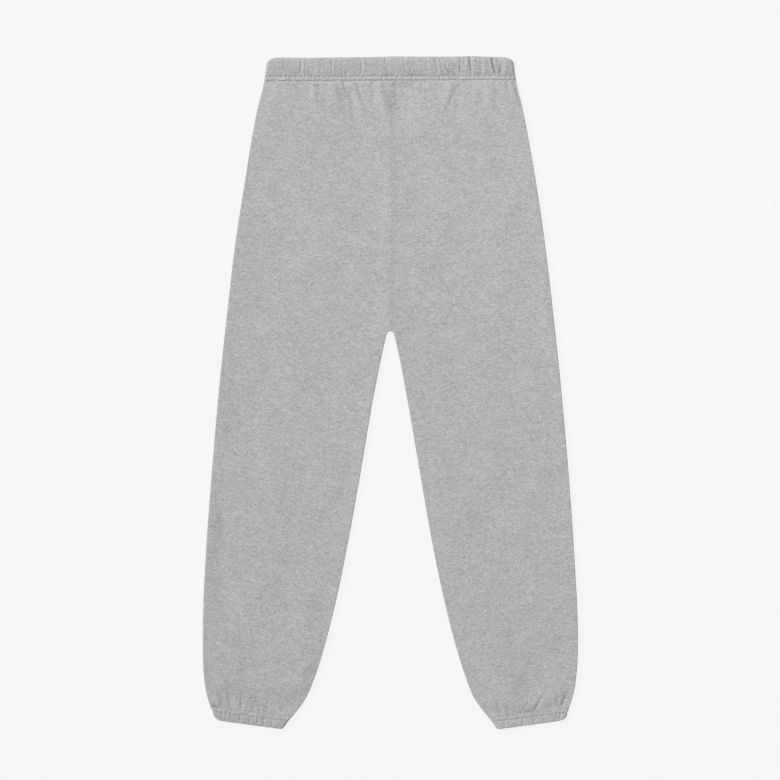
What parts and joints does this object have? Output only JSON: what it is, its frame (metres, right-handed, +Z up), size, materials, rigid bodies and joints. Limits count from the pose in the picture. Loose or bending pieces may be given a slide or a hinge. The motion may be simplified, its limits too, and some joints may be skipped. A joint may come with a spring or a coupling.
{
  "type": "jogger sweatpants",
  "caption": "Fleece jogger sweatpants laid flat with the back up, with wide legs gathered into an elastic waistband and elastic ankle casings.",
  "frame": {"origin": "on the surface that the sweatpants lie on, under the middle of their outline", "axes": "+Y towards the waistband, +Z up away from the surface, through the front and then the back; the wearer's left is at -X"},
  "size_m": [0.5805, 1.0409, 0.01],
  "materials": {
    "fleece": "heather grey brushed-back fleece with fine lighter and darker flecks, matte with a soft nap",
    "casing_fleece": "the same fleece, folded over elastic and gathered by it"
  },
  "bodies": {
    "root": {"back_left": "fleece", "back_right": "fleece", "front_left": "fleece", "front_right": "fleece", "waistband": "casing_fleece", "cuff_left": "casing_fleece", "cuff_right": "casing_fleece"}
  },
  "joints": []
}
